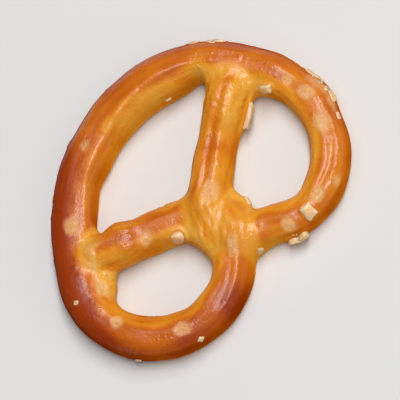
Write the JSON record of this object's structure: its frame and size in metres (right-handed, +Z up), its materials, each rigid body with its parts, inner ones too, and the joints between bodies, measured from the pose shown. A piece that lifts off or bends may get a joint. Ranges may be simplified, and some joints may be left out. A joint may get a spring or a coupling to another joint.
{
  "type": "pretzel",
  "caption": "Small crisp salted pretzel: one rope of browned dough with a twisted knot and two arms pressed onto its bow, flat underneath.",
  "frame": {"origin": "middle of the pretzel's box, at the height of its flat underside", "axes": "+X across the two lobes, +Y from the bow towards the notch between the lobes, +Z up through the browned side"},
  "size_m": [0.0462, 0.035, 0.0064],
  "materials": {
    "crust": "baked dough, browned and glazed on top, paler at the sides and creases, with baked-in coarse salt"
  },
  "bodies": {
    "root": {"pretzel": "crust"}
  },
  "joints": []
}
